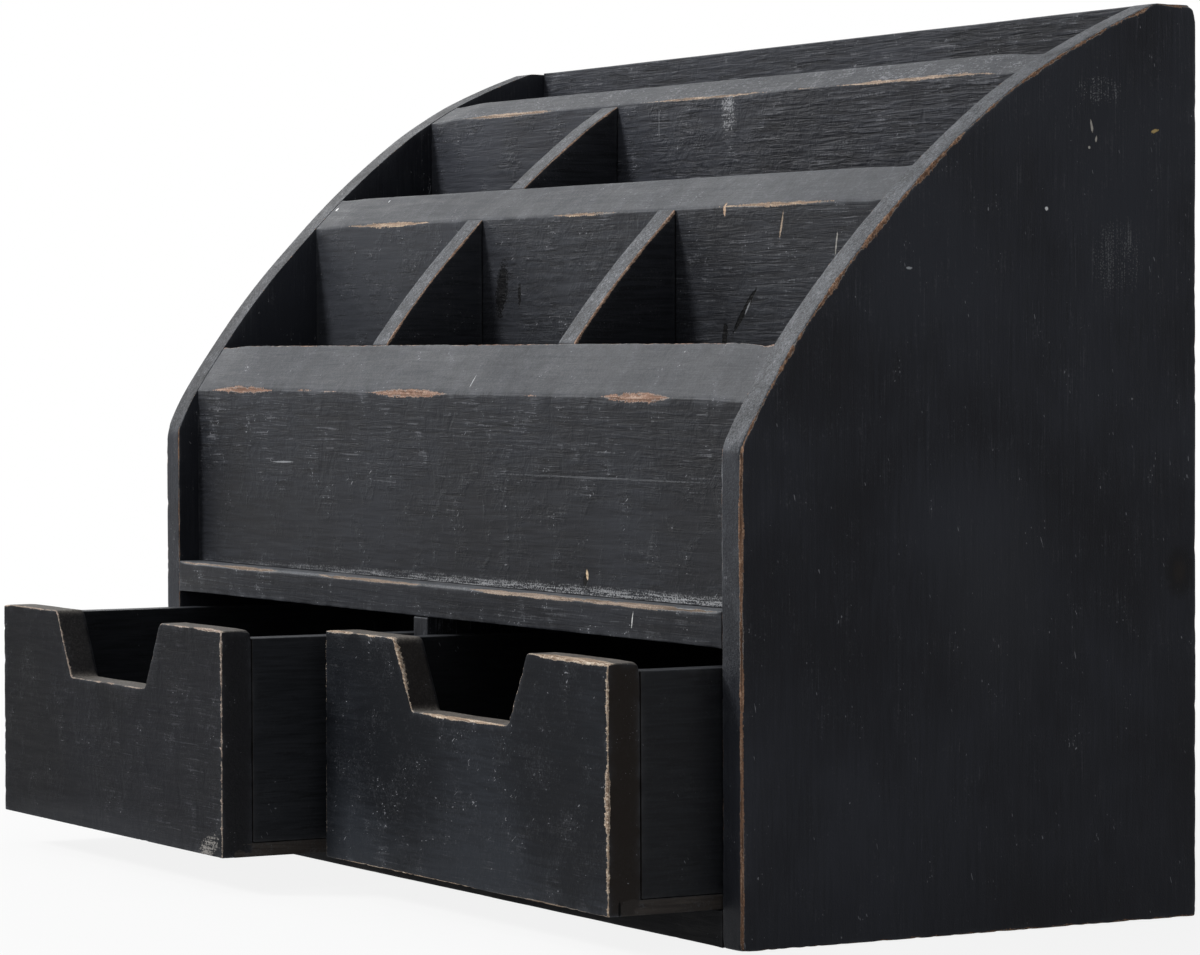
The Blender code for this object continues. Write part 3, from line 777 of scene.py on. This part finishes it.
frontPaint = paintedWood("frontPanelPaint", grain="x", shift=(3, 11, 7), riseFrom=125, riseTo=165, ridge=0.45,
                         calm=0.25, specks=0.35, brush=0.25, dashes=0.2, line="a0938a", wood="8c6f5f",
                         woodPale="aa9283", woodDark="5b4337", marks=(
    mark((106.6, -80.5, 112.6), (1.6, 3, 2.2), "030303", turn=(0, 30, 0), core=0.8, ragged=0.8, depth=0.5),
    mark((107.6, -80.5, 114.5), (0.9, 3, 2.0), "d9bf9f", turn=(0, -10, 0), ragged=0.8, depth=0.3),
    mark((20, -76.6, 179), (0.3, 3.2, 3.2), "b4b5b7", ragged=0.5),
    mark((157, -70.2, 189.2), (0.8, 0.9, 0.9), "e4e4e4"),
    mark((74.5, -70, 189.6), (0.6, 0.8, 0.8), "b4b5b7"),
    mark((-132, -80.5, 148.2), (10, 3, 0.4), "85878b", turn=(0, -1, 0), ragged=1.0),
    mark((120, -80.5, 147.5), (75, 3, 0.4), "5d5f63", ragged=1.8, strength=0.5, depth=0.3),
    mark((230, -80.5, 107.4), (445, 3, 4.0), "a2a3a5", comb=0.97, core=0.4, ragged=0.9, strength=0.95,
         depth=0),
    mark((-150, -80.5, 128), (95, 3, 17), "101114", core=0, ragged=0.4, strength=0.35, depth=0),
))
crosswise = {edge: flushEnd for edge in ("x0z1", "x1z1", "x0y0", "x1y0", "y0z0")}
across = {"grain": "x", "reach": (0.25, 0, 0), "slot": "cabinet_paint"}
makeBoard("frontPanelBoard", {
    **across, "node": "front_panel", "step": (2.1, 2.4, 0.85), "ridge": 0.14, "seed": 21,
    "reach": (0.25, 0, 0.2), "topLine": risen(0.6),
    "edges": {**crosswise,
              "y0z1": {"width": -0.9, "chip": 0.6, "pace": 4.0,
                       "patches": ((-200, -136, 0.75), (-124, -104, 0.1), (-102, -80, 0.15), (-64, 12, 0.85),
                                   (114, 168, 0.95), (60, 74, 0.1))},
              "y1z1": {"width": 0.4, "swing": 0.3}},
}, frontPaint)

makeBoard("middlePartitionBoard", {
    **across, "node": "middle_partition", "step": (3.0, 2.4, 0.75), "ridge": 0.22, "seed": 22,
    "reach": (0.25, 0, 0.2), "topLine": risen(0.3),
    "edges": {**crosswise,
              "y0z1": {"width": -0.9, "swing": 0.4, "chip": 0.4, "pace": 4.0,
                       "patches": ((-187, -106, 0.8), (-18, 44, 0.55), (104, 188, 0.65))},
              "y1z1": {"width": -0.55}},
# the paint darkens towards the right and its tops grow paler towards the right: painted light falloff across
# the width
}, paintedWood("middlePartitionPaint", grain="x", shift=(30, 17, 3), ridge=0.5, calm=0.15, riseAxis="x",
               dashes=0.2, toneRise=-0.7, rubRise=0.8, riseFrom=-200, riseTo=200, flecks=0.12,
               dark="1a1b1f", light="303237", wood="968271", woodPale="bca993", woodDark="675445", marks=(
    mark((124.0, -28, 203.5), (1.3, 4, 10.5), "020203", turn=(0, 46, 0), core=0.85, ragged=0.8, depth=0.8),
    mark((126.0, -28, 204.6), (0.5, 4, 3.2), "77797c", turn=(0, 40, 0), ragged=1.2, depth=0.2),
    mark((86.5, -23.8, 244.1), (2.6, 2.0, 3), "8c8e92", comb=1.04, ragged=2.4),
    mark((-163.5, -18, 249.4), (0.7, 0.8, 0.8), "b4b5b7"),
    mark((-207, -20, 247.6), (0.9, 1.0, 1.0), "e4e4e4"),
    mark((111.0, -28, 194.5), (1.7, 4, 5.2), "030304", turn=(0, 6, 0), core=0.85, ragged=1.1, depth=0.6),
    mark((-51.5, -28, 213), (4.8, 4, 11), "050506", turn=(0, 12, 0), core=0.7, ragged=1.6, strength=0.9,
         depth=0.3),
    mark((-37.5, -28, 211), (1.3, 4, 5), "0a0a0c", ragged=1.4, depth=0.3),
    mark((110.8, -28, 238.6), (0.9, 4, 2.6), "b59a83", depth=0.3),
    mark((148.0, -28, 232.0), (0.6, 4, 5.0), "a3917f", turn=(0, 16, 0), depth=0.3),
    mark((182.5, -28, 225.5), (0.5, 4, 4.6), "8f8c88", turn=(0, 10, 0), depth=0.2),
)))

makeBoard("rearPartitionBoard", {
    **across, "node": "rear_partition", "step": (3.2, 2.4, 0.8), "ridge": 0.26, "seed": 23,
    "reach": (0.25, 0, 0.2), "topLine": risen(1.0),
    "edges": {**crosswise,
              "y0z1": {"width": -0.9, "swing": 0.4, "chip": 0.4, "pace": 4.0,
                       "patches": ((-192, -100, 1.05), (-52, 66, 0.6), (68, 92, 0.3), (84, 214, 0.7))},
              "y1z1": {"width": -0.55}},
# paint paler than the front boards', darker towards the right and with tops paler towards the right: painted
# light for this deep row and its falloff
}, paintedWood("rearPartitionPaint", grain="x", shift=(61, 5, 23), ridge=0.85, specks=0.5, calm=0.3,
               riseAxis="x", dashes=0.22, toneRise=-0.7, rubRise=0.3, riseFrom=-150, riseTo=190,
               dark="1d1e23", light="36383e", flecks=0.7, wood="978576", woodPale="bdab9a",
               woodDark="665547", marks=(
    mark((26.0, 24.5, 277), (5.0, 4, 6.6), "8a8b8e", comb=0.94, ragged=2.6, depth=0),
    mark((-24.5, 24.5, 275), (0.55, 4, 6.5), "5a5c60", strength=0.8),
)))

makeBoard("backPanelBoard", {
    **across, "node": "back_panel", "step": (2.8, 2.4, 1.7), "ridge": 0.16, "seed": 24,
    "topLine": lambda x, y: np.full_like(x, 305.5),
    "edges": {**crosswise, "y0z1": {"width": -0.6}, "y1z1": {"width": -0.4, "swing": 0.6}},
# paint paler than the front boards': painted light on the back of the deepest row
}, paintedWood("backPanelPaint", grain="x", shift=(13, 41, 9), brush=0.35, ridge=0.5, dashes=0.2,
               dark="1e1f23", light="36383e"))

makeBoard("shelfBoard", {
    **across, "node": "shelf_board", "step": (1.8, 2.6, 2.4), "ridge": 0.08, "seed": 25,
    "edges": {**crosswise,
              "y0z1": {"width": -0.2, "swing": 0.4, "round": 0.9, "chip": 0.5, "blunt": 7,
                       "patches": ((-211, -166, 0.7), (-173, -118, 1.2), (-86, 2, 1.2), (32, 212, 1.5))},
              "y0z0": {"width": -0.8}},
}, paintedWood("shelfPaint", grain="x", shift=(7, 2, 31), specks=0.8, dashes=0.1, ridge=0.15, stretch=26,
               brush=0.15, wood="8a7a6d", woodPale="a49587", woodDark="64564a", rub="686a6e",
               rubDark="3a3d40", marks=(
    mark((153, -89, 101.8), (0.4, 3, 3.0), "c9c9c8", turn=(0, 12, 0), depth=0.2),
)))

makeBoard("bottomBoard", {
    **across, "node": "bottom_board", "step": (2.2, 3.0, 2.4), "ridge": 0.06, "seed": 26,
    "edges": {**crosswise, "y0z1": {"width": -0.6, "swing": 0.6}, "y0z0": {"width": -0.5, "swing": 0.6}},
# near-black paint, darker than the other boards: painted shade under the drawers
}, paintedWood("bottomPaint", grain="x", shift=(23, 1, 17), dark="06070a", light="0d0e11", ridge=0.1,
               brush=0.03, specks=0.0, dashes=0.0, mottle=0.03, edge="303134", specular=0.04))

makeBoard("drawerDividerBoard", {
    "node": "drawer_divider", "step": (2.2, 2.6, 1.6), "grain": "z", "ridge": 0.06, "seed": 27,
    "reach": (0, 0, 0.2), "slot": "cabinet_paint",
}, paintedWood("drawerDividerPaint", grain="z", shift=(5, 19, 3), ridge=0.1, brush=0.1))

# paint paler than the plain paint: painted light on the dividers' shaded right faces; their tops carry
# painted light too
dividerPaint = paintedWood("dividerPaint", grain="y", shift=(9, 4, 15), rub="53565b",
                           rubDark="17181b", flecks=0.6, fleckStretch=4.0, ridge=0.08, brush=0.04,
                           specks=0.0, line="b39c87", gritBump=0.12, dark="1a1b1f", light="2d2f34",
                           dashes=0.0)
for number, (name, node, worn) in enumerate((
        ("frontLeftDividerBoard", "front_row_divider_left", 0.65),
        ("frontRightDividerBoard", "front_row_divider_right", 0.75),
        ("middleDividerBoard", "middle_row_divider", 0.4))):
    makeBoard(name, {
        "node": node, "step": (2.2, 1.3, 1.4), "grain": "y", "ridge": 0.1, "seed": 31 + number, "follow": 1,
        "reach": (0, 0.25, 0.2), "topLine": risen(0.2), "slot": "cabinet_paint",
        "edges": {"x1z1": {"width": worn, "swing": 0.35, "chip": 0.2}, "x0z1": {"width": -0.2, "swing": 0.4},
                  "y0z1": flushEnd, "y1z1": flushEnd},
    }, dividerPaint)
print("cabinet boards made")


notch = {
    "top": 96.0,
    "foot": 69.0,
    "deep": 24.5,
    "soft": 1.0,  # its corners are rounded over this much of the slope's run
}
drawerTop = {
    "rise": 0.6,
    "crown": 0.3,
    "wave": 17.0,
    "endDrop": 0.4,  # both ends are worn down by this much
    "endFrom": 90,
    "endRun": 12,
}


def notchedTop(middle, height, seed):
    # a top line across the drawer front: level, with a slow crown, and the notch let in with sloped ends
    def topLine(x, y):
        side = np.abs(x - middle)
        run = (notch["top"] - notch["foot"]) / 2
        soft = notch["soft"] / run
        fall = np.clip((notch["top"] / 2 - side) / run, -soft, 1 + soft)
        eased = np.where(fall < soft, (fall + soft) ** 2 / (4 * soft), fall)
        eased = np.where(fall > 1 - soft, 1 - (1 + soft - fall) ** 2 / (4 * soft), eased)
        wave = edgeNoise(x, drawerTop["wave"], seed)
        ends = drawerTop["endDrop"] * np.clip((side - drawerTop["endFrom"]) / drawerTop["endRun"], 0, 1) ** 2
        return height - notch["deep"] * eased - drawerTop["crown"] * (0.25 + 0.75 * wave) - ends
    return topLine


def drawerBoards(side, seed, look):
    # the five boards of one drawer; wear is the usual width of bare wood on the front's edges
    body = side + "_drawer"
    front = body + "_front"
    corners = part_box(front)
    middle = 500 * (corners[0].x + corners[1].x)
    height = 1000 * corners[1].z + drawerTop["rise"]
    shift = (17 * seed, 3, 8)
    wear = look["wear"]
    facePaint = paintedWood(side + "DrawerFacePaint", grain="x", shift=shift, specks=0.42, brush=0.07,
                            specular=0.05, roughness=0.58, grainTone=0.25, grooves=0.3, line="b5a99c",
                            **look["paint"])
    wallPaint = paintedWood(side + "DrawerWallPaint", grain="y", shift=shift, ridge=0.06, brush=0.03,
                            specks=-0.2, dust="3c3e40", edge="3a3b3d", dashes=0.0, scratchTurn=(0.4, 0, 0),
                            **look["wallPaint"])
    panelPaint = paintedWood(side + "DrawerPanelPaint", grain="y", shift=shift, dark="2a2624", light="443f3b",
                             ridge=0.08, brush=0.1, specks=0.0, mottle=0.35, edge="3f3c39", dashes=0.0)
    makeBoard(side + "DrawerFrontBoard", {
        "node": front, "step": (1.25, 1.9, 0.95), "grain": "x", "ridge": 0.09, "dip": 0.12, "seed": seed,
        "follow": 0, "topLine": notchedTop(middle, height, seed + 5),
        "slot": "drawer_paint", "litFrom": look["litFrom"], "endSlope": 0.9,
        "edges": {"y0z1": {"width": wear, "chip": 0.5, "pace": 4.0, "blunt": 5,
                           "patches": look["top"], "spread": (2.6, 1.0)},
                  "x1y0": {"width": wear + 0.1, "swing": 0.25, "chip": 0.5, "pace": 3.0, "blunt": 5,
                           "patches": look["right"], "spread": (2.4, 1.0)},
                  "x0y0": {"width": look["leftWear"], "swing": 0.3, "chip": 0.4, "pace": 4.0},
                  "y0z0": {"width": wear - 0.4, "chip": 0.4, "patches": look["foot"]},
                  "y1z1": {"width": -0.9, "swing": 0.4, "round": 1.6},
                  "x1z1": {"width": -0.5}, "x1y1": {"width": -0.9, "swing": 0.4}},
    }, facePaint)
    joint = {edge: {"width": -4.0, "swing": 0.0, "round": -0.28} for edge in allEdges if edge[2:] != "z1"}
    wall = {"step": (2.0, 2.4, 1.8), "grain": "y", "ridge": 0.05, "slot": "drawer_paint", "rub": 0.6,
            "round": 0.4, "reach": (0, 0.15, 0.15), "edges": joint}
    for name, part, number, change, material in (
            ("LeftWall", "_left_wall", 1, {}, wallPaint),
            ("RightWall", "_right_wall", 2, {}, wallPaint),
            ("Back", "_back", 3, {"grain": "x", "reach": (0, 0, 0.15), "step": (2.2, 2.0, 1.8)}, facePaint),
            ("Bottom", "_bottom_panel", 4, {"reach": (0, 0, 0), "step": (2.6, 2.6, 1.6)}, panelPaint)):
        makeBoard(side + "Drawer" + name + "Board",
                  {**wall, **change, "node": body + part, "seed": seed + number}, material)


# the drawer fronts are painted darker than the cabinet boards, and their tone changes along riseAxis: painted
# shade for the lower drawers, and its falloff
drawerBoards("left", 51, {
    "wear": 0.12, "leftWear": 0.27, "top": ((-32, -2, 0.8), (-204, -170, 0.4)),
    "right": ((12, 30, 0.3), (80, 92, 0.5)), "foot": (), "litFrom": 0.445,
    "wallPaint": {"dark": "181a1d", "light": "27292d"},
    "paint": {"dark": "0b0c0f", "light": "18191d", "mottle": 0.12, "wood": "9a887c", "woodPale": "c2b5aa",
              "woodDark": "65564c", "rub": "68645f", "rubDark": "403d3a", "end": "272729", "riseAxis": "x",
              "riseFrom": -205, "riseTo": -10, "toneRise": 0.6, "ridge": 0.3, "dashes": 0.07, "marks": (
    mark((-106, -164, 13), (125, 4, 13), "36383c", core=0.2, ragged=0.8, strength=0.3, depth=0),
    mark((-18, -164, 15.5), (8, 4, 3.6), "85827e", turn=(0, -20, 0), comb=0.96, ragged=2.2, depth=0))}})
drawerBoards("right", 61, {
    "wear": 0.22, "leftWear": 0.6, "top": ((160, 216, 1.5), (6, 30, 0.9), (52, 72, 0.7), (76, 138, 0.9)),
    "right": ((36, 62, 0.95), (14, 42, 0.5), (60, 96, 0.45)),
    "foot": ((4, 60, 0.35), (44, 128, 0.75), (120, 208, 0.6)),
    "litFrom": 0.46, "wallPaint": {"dark": "131417", "light": "1f2124"},
    "paint": {"dark": "101216", "light": "26292e", "mottle": 0.17, "wood": "a8937f", "woodPale": "d2c4b2",
              "woodDark": "6d5b4d", "rub": "736e68", "rubDark": "45413e", "riseFrom": 52, "riseTo": 10,
              "toneRise": 0.9, "ridge": 0.2, "dashes": 0.05, "marks": (
    mark((209.5, -121.5, 14.8), (2, 4.2, 3.0), "34312f", core=0.85, ragged=0.5, strength=0.8, depth=0),
    mark((209.5, -125.8, 14.5), (2, 0.45, 3.0), "040404", core=0.7, ragged=0.4, depth=0.4))}})
print("drawer boards made")

steel = brightSteel("bradSteel")
for name, node in nodes.items():
    if "_brad_" in name or "_pin_" in name:
        node.data.materials.clear()
        node.data.materials.append(steel)
print("brads finished")


room = {
    "floorColour": 0.62,
    "paperScale": 60,
    "paperSway": 0.01,
    "floorSize": 8.0,
    "floorGap": 0.0004,
    "shadowShare": 0.13,
    "whiteFrom": 0.5,
    "whiteTo": 1.3,
    "worldLight": 0.36,
    "worldColour": (0.95, 0.97, 1, 1),
    "lamps": (
        # place, target, size, power
        ("keyLight", (-1.12, -1.75, 1.64), (0, -0.05, 0.15), (0.62, 0.62), 55.5),
        ("topLight", (-0.2, 0.0, 2.2), (0, 0, 0.1), (1.6, 1.6), 7.0),
        ("leftLight", (-2.2, -0.2, 1.25), (0, 0, 0.2), (1.6, 1.2), 14.0),
    ),
}


def seenShare(tree):
    # 1 for rays that show the background: camera, glossy and transmission rays
    path = addNode(tree, "ShaderNodeLightPath")
    seen = sums(tree, "MAXIMUM", path.outputs["Is Camera Ray"], path.outputs["Is Glossy Ray"])
    return sums(tree, "MAXIMUM", seen, path.outputs["Is Transmission Ray"])


world = bpy.data.worlds.new("studio")
scene.world = world
world.use_nodes = True
world.node_tree.nodes.clear()
dim = addNode(world.node_tree, "ShaderNodeBackground",
              values={"Color": room["worldColour"], "Strength": room["worldLight"]})
white = addNode(world.node_tree, "ShaderNodeBackground",
                values={"Color": (1, 1, 1, 1), "Strength": 1.0})
mixed = addNode(world.node_tree, "ShaderNodeMixShader",
                {0: seenShare(world.node_tree), 1: dim.outputs[0], 2: white.outputs[0]})
addNode(world.node_tree, "ShaderNodeOutputWorld", {"Surface": mixed.outputs[0]})

half = room["floorSize"] / 2
floorMesh = bpy.data.meshes.new("floor")
floorMesh.from_pydata(
    [(x * half, y * half, -room["floorGap"]) for x, y in ((-1, -1), (1, -1), (1, 1), (-1, 1))],
    [], [(0, 1, 2, 3)])
floor = bpy.data.objects.new("floor", floorMesh)
scene.collection.objects.link(floor)
floorPaint, tree = newMaterial("floorPaper")
spot = addNode(tree, "ShaderNodeTexCoord").outputs["Object"]
away = addNode(tree, "ShaderNodeVectorMath", {0: spot}, operation="LENGTH").outputs["Value"]
paper = noise(tree, spot, room["paperScale"], 3)
tone = tint(tree, paper, *((room["floorColour"] + s * room["paperSway"],) * 3 for s in (-1, 1)))
diffuse = addNode(tree, "ShaderNodeBsdfDiffuse", {"Color": tone})
glow = addNode(tree, "ShaderNodeEmission", values={"Color": (1, 1, 1, 1), "Strength": 1.0})
share = sums(tree, "MULTIPLY", seenShare(tree),
             ramp(tree, away, room["whiteFrom"], room["whiteTo"], 1 - room["shadowShare"], 1.0))
mixed = addNode(tree, "ShaderNodeMixShader", {0: share, 1: diffuse.outputs[0], 2: glow.outputs[0]})
addNode(tree, "ShaderNodeOutputMaterial", {"Surface": mixed.outputs[0]})
floor.data.materials.append(floorPaint)

for name, place, target, size, power in room["lamps"]:
    lamp = bpy.data.lights.new(name, "AREA")
    lamp.shape = "RECTANGLE"
    lamp.size = size[0]
    lamp.size_y = size[1]
    lamp.energy = power
    holder = bpy.data.objects.new(name, lamp)
    holder.location = place
    holder.rotation_euler = (Vector(target) - Vector(place)).to_track_quat("-Z", "Y").to_euler()
    holder.visible_camera = False
    scene.collection.objects.link(holder)
print("room made")

photo = {
    "width": 1200.0, "height": 955.0, "focal": 4541.5, "axisAt": (656.95, 480.90),
    "yaw": 60.0, "pitch": 1.62, "roll": -0.19, "place": (1.44716, -0.82638, 0.18958),
    "sensor": 36.0, "clip": (0.05, 50),
}
yaw, pitch, roll = (math.radians(photo[k]) for k in ("yaw", "pitch", "roll"))
ahead = Vector((-math.sin(yaw) * math.cos(pitch), math.cos(yaw) * math.cos(pitch), -math.sin(pitch)))
right = Vector((math.cos(yaw), math.sin(yaw), 0))
up = right.cross(ahead)
rightRolled = math.cos(roll) * right + math.sin(roll) * up
upRolled = math.cos(roll) * up - math.sin(roll) * right
cameraData = bpy.data.cameras.new("photoCamera")
cameraData.sensor_fit = "HORIZONTAL"
cameraData.sensor_width = photo["sensor"]
cameraData.lens = photo["focal"] * photo["sensor"] / photo["width"]
cameraData.shift_x = (photo["width"] / 2 - photo["axisAt"][0]) / photo["width"]
cameraData.shift_y = (photo["axisAt"][1] - photo["height"] / 2) / photo["width"]
cameraData.clip_start, cameraData.clip_end = photo["clip"]
camera = bpy.data.objects.new("photoCamera", cameraData)
turned = Matrix((rightRolled, upRolled, -ahead)).transposed().to_4x4()
camera.matrix_world = Matrix.Translation(photo["place"]) @ turned
scene.collection.objects.link(camera)
scene.camera = camera

scene.view_settings.view_transform = "Standard"

bpy.context.view_layer.update()
